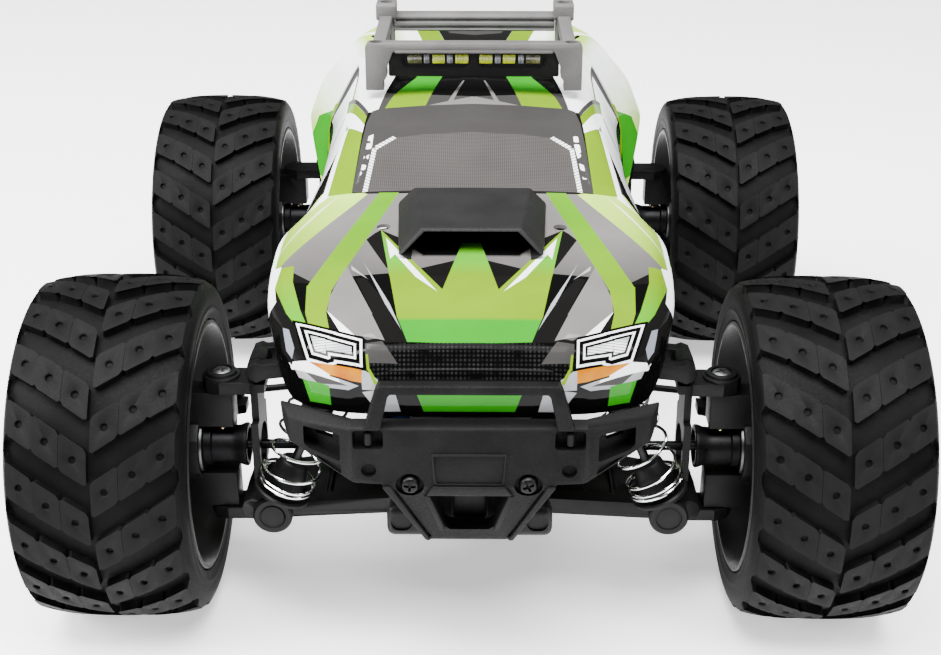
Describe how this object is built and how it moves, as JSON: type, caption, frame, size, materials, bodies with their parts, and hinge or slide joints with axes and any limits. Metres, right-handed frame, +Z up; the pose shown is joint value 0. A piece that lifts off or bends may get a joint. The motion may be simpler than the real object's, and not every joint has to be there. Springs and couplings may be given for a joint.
{
  "type": "radio-controlled monster truck",
  "caption": "Four-wheel-drive radio-controlled monster truck with big chevron tyres, independent coil-spring suspension, steering, drive line and painted shell.",
  "frame": {"origin": "on the ground, midway between the axles on the centre plane", "axes": "+Z up, -Y towards the front of the truck, X across it"},
  "size_m": [0.278, 0.36, 0.166],
  "materials": {
    "tyre": "matt moulded rubber",
    "rim": "satin black moulded plastic",
    "nylon": "black glass-filled nylon",
    "trim": "textured dark grey plastic",
    "dark_steel": "blackened steel",
    "spring": "bright plated spring wire",
    "shell": "clear-coated paint in greens, black, grey and white",
    "lamp": "clear moulded lens over reflectors",
    "brass": "turned brass",
    "battery": "shrink wrap"
  },
  "bodies": {
    "chassis": {"chassis": "nylon", "front_bulkhead": "nylon", "rear_bulkhead": "nylon", "front_bumper": "trim", "body_shell": "shell", "roof_rack": "trim", "hood_scoop": "trim", "battery_pack": "battery", "motor": "dark_steel", "steering_servo": "nylon"},
    "drive_shaft": {"centre_shaft": "dark_steel"},
    "motor_pinion": {"motor_pinion": "dark_steel"},
    "front_diff": {"front_diff": "dark_steel"},
    "rear_diff": {"rear_diff": "dark_steel"},
    "servo_horn": {"servo_horn": "nylon"},
    "steering_rack": {"steering_rack": "nylon"},
    "tie_rod_right": {"tie_rod_right": "dark_steel"},
    "tie_rod_left": {"tie_rod_left": "dark_steel"},
    "arm_front_right": {"lower_arm_front_right": "nylon"},
    "upper_arm_front_right": {"upper_arm_front_right": "nylon"},
    "hub_front_right": {"hub_bracket_front_right": "nylon"},
    "knuckle_front_right": {"steering_knuckle_front_right": "nylon"},
    "wheel_front_right": {"tyre_front_right": "tyre", "rim_front_right": "rim", "stub_axle_front_right": "dark_steel"},
    "dogbone_front_right": {"dogbone_front_right": "dark_steel"},
    "damper_front_right": {"shock_body_front_right": "nylon"},
    "piston_front_right": {"shock_rod_front_right": "dark_steel", "spring_front_right": "spring"},
    "arm_front_left": {"lower_arm_front_left": "nylon"},
    "upper_arm_front_left": {"upper_arm_front_left": "nylon"},
    "hub_front_left": {"hub_bracket_front_left": "nylon"},
    "knuckle_front_left": {"steering_knuckle_front_left": "nylon"},
    "wheel_front_left": {"tyre_front_left": "tyre", "rim_front_left": "rim", "stub_axle_front_left": "dark_steel"},
    "dogbone_front_left": {"dogbone_front_left": "dark_steel"},
    "damper_front_left": {"shock_body_front_left": "nylon"},
    "piston_front_left": {"shock_rod_front_left": "dark_steel", "spring_front_left": "spring"},
    "arm_rear_right": {"lower_arm_rear_right": "nylon"},
    "upper_arm_rear_right": {"upper_arm_rear_right": "nylon"},
    "hub_rear_right": {"rear_hub_right": "nylon"},
    "wheel_rear_right": {"tyre_rear_right": "tyre", "rim_rear_right": "rim", "stub_axle_rear_right": "dark_steel"},
    "dogbone_rear_right": {"dogbone_rear_right": "dark_steel"},
    "damper_rear_right": {"shock_body_rear_right": "nylon"},
    "piston_rear_right": {"shock_rod_rear_right": "dark_steel", "spring_rear_right": "spring"},
    "arm_rear_left": {"lower_arm_rear_left": "nylon"},
    "upper_arm_rear_left": {"upper_arm_rear_left": "nylon"},
    "hub_rear_left": {"rear_hub_left": "nylon"},
    "wheel_rear_left": {"tyre_rear_left": "tyre", "rim_rear_left": "rim", "stub_axle_rear_left": "dark_steel"},
    "dogbone_rear_left": {"dogbone_rear_left": "dark_steel"},
    "damper_rear_left": {"shock_body_rear_left": "nylon"},
    "piston_rear_left": {"shock_rod_rear_left": "dark_steel", "spring_rear_left": "spring"}
  },
  "joints": [
    {"name": "suspension_front_right", "type": "hinge", "parent": "chassis", "child": "arm_front_right", "pos_m": [0.017, -0.11, 0.045], "axis": [0, -1, 0], "range_deg": [-12, 13], "stiffness_Nm_per_rad": 0.5, "springref_deg": -9.85},
    {"name": "upper_pivot_front_right", "type": "hinge", "parent": "chassis", "child": "upper_arm_front_right", "pos_m": [0.014, -0.11, 0.092], "axis": [0, -1, 0], "range_deg": [-12, 13]},
    {"name": "hub_pivot_front_right", "type": "hinge", "parent": "arm_front_right", "child": "hub_front_right", "pos_m": [0.071, -0.11, 0.039], "axis": [0, -1, 0], "range_deg": [-13, 12]},
    {"name": "damper_top_front_right", "type": "hinge", "parent": "chassis", "child": "damper_front_right", "pos_m": [0.038, -0.129, 0.102], "axis": [0, -1, 0], "range_deg": [-4, 4.5]},
    {"name": "damper_foot_front_right", "type": "hinge", "parent": "arm_front_right", "child": "piston_front_right", "pos_m": [0.063, -0.129, 0.043], "axis": [0, -1, 0], "range_deg": [-9.5, 9], "deforming": ["spring_front_right"]},
    {"name": "steer_front_right", "type": "hinge", "parent": "hub_front_right", "child": "knuckle_front_right", "pos_m": [0.0805, -0.11, 0.056], "axis": [0, 0, 1], "range_deg": [-22, 22]},
    {"name": "wheel_front_right", "type": "hinge", "parent": "knuckle_front_right", "child": "wheel_front_right", "pos_m": [0.112, -0.11, 0.056], "axis": [1, 0, 0], "continuous": true},
    {"name": "dogbone_front_right", "type": "hinge", "parent": "arm_front_right", "child": "dogbone_front_right", "pos_m": [0.052, -0.11, 0.056], "axis": [1, 0, 0], "continuous": true},
    {"name": "suspension_front_left", "type": "hinge", "parent": "chassis", "child": "arm_front_left", "pos_m": [-0.017, -0.11, 0.045], "axis": [0, 1, 0], "range_deg": [-12, 13], "stiffness_Nm_per_rad": 0.5, "springref_deg": -9.85},
    {"name": "upper_pivot_front_left", "type": "hinge", "parent": "chassis", "child": "upper_arm_front_left", "pos_m": [-0.014, -0.11, 0.092], "axis": [0, 1, 0], "range_deg": [-12, 13]},
    {"name": "hub_pivot_front_left", "type": "hinge", "parent": "arm_front_left", "child": "hub_front_left", "pos_m": [-0.071, -0.11, 0.039], "axis": [0, 1, 0], "range_deg": [-13, 12]},
    {"name": "damper_top_front_left", "type": "hinge", "parent": "chassis", "child": "damper_front_left", "pos_m": [-0.038, -0.129, 0.102], "axis": [0, 1, 0], "range_deg": [-4, 4.5]},
    {"name": "damper_foot_front_left", "type": "hinge", "parent": "arm_front_left", "child": "piston_front_left", "pos_m": [-0.063, -0.129, 0.043], "axis": [0, 1, 0], "range_deg": [-9.5, 9], "deforming": ["spring_front_left"]},
    {"name": "steer_front_left", "type": "hinge", "parent": "hub_front_left", "child": "knuckle_front_left", "pos_m": [-0.0805, -0.11, 0.056], "axis": [0, 0, 1], "range_deg": [-22, 22]},
    {"name": "wheel_front_left", "type": "hinge", "parent": "knuckle_front_left", "child": "wheel_front_left", "pos_m": [-0.112, -0.11, 0.056], "axis": [1, 0, 0], "continuous": true},
    {"name": "dogbone_front_left", "type": "hinge", "parent": "arm_front_left", "child": "dogbone_front_left", "pos_m": [-0.052, -0.11, 0.056], "axis": [1, 0, 0], "continuous": true},
    {"name": "suspension_rear_right", "type": "hinge", "parent": "chassis", "child": "arm_rear_right", "pos_m": [0.017, 0.11, 0.045], "axis": [0, -1, 0], "range_deg": [-12, 13], "stiffness_Nm_per_rad": 0.5, "springref_deg": -9.85},
    {"name": "upper_pivot_rear_right", "type": "hinge", "parent": "chassis", "child": "upper_arm_rear_right", "pos_m": [0.014, 0.11, 0.092], "axis": [0, -1, 0], "range_deg": [-12, 13]},
    {"name": "hub_pivot_rear_right", "type": "hinge", "parent": "arm_rear_right", "child": "hub_rear_right", "pos_m": [0.071, 0.11, 0.039], "axis": [0, -1, 0], "range_deg": [-13, 12]},
    {"name": "damper_top_rear_right", "type": "hinge", "parent": "chassis", "child": "damper_rear_right", "pos_m": [0.038, 0.129, 0.102], "axis": [0, -1, 0], "range_deg": [-4, 4.5]},
    {"name": "damper_foot_rear_right", "type": "hinge", "parent": "arm_rear_right", "child": "piston_rear_right", "pos_m": [0.063, 0.129, 0.043], "axis": [0, -1, 0], "range_deg": [-9.5, 9], "deforming": ["spring_rear_right"]},
    {"name": "wheel_rear_right", "type": "hinge", "parent": "hub_rear_right", "child": "wheel_rear_right", "pos_m": [0.112, 0.11, 0.056], "axis": [1, 0, 0], "continuous": true},
    {"name": "dogbone_rear_right", "type": "hinge", "parent": "arm_rear_right", "child": "dogbone_rear_right", "pos_m": [0.052, 0.11, 0.056], "axis": [1, 0, 0], "continuous": true},
    {"name": "suspension_rear_left", "type": "hinge", "parent": "chassis", "child": "arm_rear_left", "pos_m": [-0.017, 0.11, 0.045], "axis": [0, 1, 0], "range_deg": [-12, 13], "stiffness_Nm_per_rad": 0.5, "springref_deg": -9.85},
    {"name": "upper_pivot_rear_left", "type": "hinge", "parent": "chassis", "child": "upper_arm_rear_left", "pos_m": [-0.014, 0.11, 0.092], "axis": [0, 1, 0], "range_deg": [-12, 13]},
    {"name": "hub_pivot_rear_left", "type": "hinge", "parent": "arm_rear_left", "child": "hub_rear_left", "pos_m": [-0.071, 0.11, 0.039], "axis": [0, 1, 0], "range_deg": [-13, 12]},
    {"name": "damper_top_rear_left", "type": "hinge", "parent": "chassis", "child": "damper_rear_left", "pos_m": [-0.038, 0.129, 0.102], "axis": [0, 1, 0], "range_deg": [-4, 4.5]},
    {"name": "damper_foot_rear_left", "type": "hinge", "parent": "arm_rear_left", "child": "piston_rear_left", "pos_m": [-0.063, 0.129, 0.043], "axis": [0, 1, 0], "range_deg": [-9.5, 9], "deforming": ["spring_rear_left"]},
    {"name": "wheel_rear_left", "type": "hinge", "parent": "hub_rear_left", "child": "wheel_rear_left", "pos_m": [-0.112, 0.11, 0.056], "axis": [1, 0, 0], "continuous": true},
    {"name": "dogbone_rear_left", "type": "hinge", "parent": "arm_rear_left", "child": "dogbone_rear_left", "pos_m": [-0.052, 0.11, 0.056], "axis": [1, 0, 0], "continuous": true},
    {"name": "front_diff_spin", "type": "hinge", "parent": "chassis", "child": "front_diff", "pos_m": [0, -0.11, 0.056], "axis": [1, 0, 0], "continuous": true},
    {"name": "rear_diff_spin", "type": "hinge", "parent": "chassis", "child": "rear_diff", "pos_m": [0, 0.11, 0.056], "axis": [1, 0, 0], "continuous": true},
    {"name": "drive_shaft_spin", "type": "hinge", "parent": "chassis", "child": "drive_shaft", "pos_m": [0, 0, 0.056], "axis": [0, 1, 0], "continuous": true},
    {"name": "motor_spin", "type": "hinge", "parent": "chassis", "child": "motor_pinion", "pos_m": [0.0175, 0.026, 0.058], "axis": [0, 1, 0], "continuous": true},
    {"name": "servo_turn", "type": "hinge", "parent": "chassis", "child": "servo_horn", "pos_m": [0.014, -0.068, 0.07], "axis": [0, 0, 1], "range_deg": [-22, 22]},
    {"name": "rack_slide", "type": "slide", "parent": "chassis", "child": "steering_rack", "axis": [1, 0, 0], "range_m": [-0.00695, 0.00695]},
    {"name": "tie_rod_right", "type": "hinge", "parent": "steering_rack", "child": "tie_rod_right", "pos_m": [0.025, -0.092, 0.0724], "axis": [0, -1, 0], "range_deg": [-12, 13]},
    {"name": "tie_rod_left", "type": "hinge", "parent": "steering_rack", "child": "tie_rod_left", "pos_m": [-0.025, -0.092, 0.0724], "axis": [0, 1, 0], "range_deg": [-12, 13]}
  ],
  "couplings": [
    {"joint": "upper_pivot_front_right", "follows": "suspension_front_right", "ratio": 1},
    {"joint": "hub_pivot_front_right", "follows": "suspension_front_right", "ratio": -1},
    {"joint": "damper_top_front_right", "follows": "suspension_front_right", "ratio": 0.306},
    {"joint": "damper_foot_front_right", "follows": "suspension_front_right", "ratio": -0.694},
    {"joint": "upper_pivot_front_left", "follows": "suspension_front_left", "ratio": 1},
    {"joint": "hub_pivot_front_left", "follows": "suspension_front_left", "ratio": -1},
    {"joint": "damper_top_front_left", "follows": "suspension_front_left", "ratio": 0.306},
    {"joint": "damper_foot_front_left", "follows": "suspension_front_left", "ratio": -0.694},
    {"joint": "steer_front_left", "follows": "steer_front_right", "ratio": 1},
    {"joint": "upper_pivot_rear_right", "follows": "suspension_rear_right", "ratio": 1},
    {"joint": "hub_pivot_rear_right", "follows": "suspension_rear_right", "ratio": -1},
    {"joint": "damper_top_rear_right", "follows": "suspension_rear_right", "ratio": 0.306},
    {"joint": "damper_foot_rear_right", "follows": "suspension_rear_right", "ratio": -0.694},
    {"joint": "upper_pivot_rear_left", "follows": "suspension_rear_left", "ratio": 1},
    {"joint": "hub_pivot_rear_left", "follows": "suspension_rear_left", "ratio": -1},
    {"joint": "damper_top_rear_left", "follows": "suspension_rear_left", "ratio": 0.306},
    {"joint": "damper_foot_rear_left", "follows": "suspension_rear_left", "ratio": -0.694},
    {"joint": "wheel_front_right", "follows": "wheel_rear_right", "ratio": 1},
    {"joint": "dogbone_front_right", "follows": "wheel_rear_right", "ratio": 1},
    {"joint": "wheel_front_left", "follows": "wheel_rear_right", "ratio": 1},
    {"joint": "dogbone_front_left", "follows": "wheel_rear_right", "ratio": 1},
    {"joint": "dogbone_rear_right", "follows": "wheel_rear_right", "ratio": 1},
    {"joint": "wheel_rear_left", "follows": "wheel_rear_right", "ratio": 1},
    {"joint": "dogbone_rear_left", "follows": "wheel_rear_right", "ratio": 1},
    {"joint": "front_diff_spin", "follows": "wheel_rear_right", "ratio": 1},
    {"joint": "rear_diff_spin", "follows": "wheel_rear_right", "ratio": 1},
    {"joint": "drive_shaft_spin", "follows": "wheel_rear_right", "ratio": -2.75},
    {"joint": "motor_spin", "follows": "wheel_rear_right", "ratio": 7.425},
    {"joint": "servo_turn", "follows": "steer_front_right", "ratio": -1},
    {"joint": "rack_slide", "follows": "steer_front_right", "m_per_rad": -0.018},
    {"joint": "tie_rod_right", "follows": "suspension_front_right", "ratio": 1},
    {"joint": "tie_rod_left", "follows": "suspension_front_left", "ratio": 1}
  ]
}
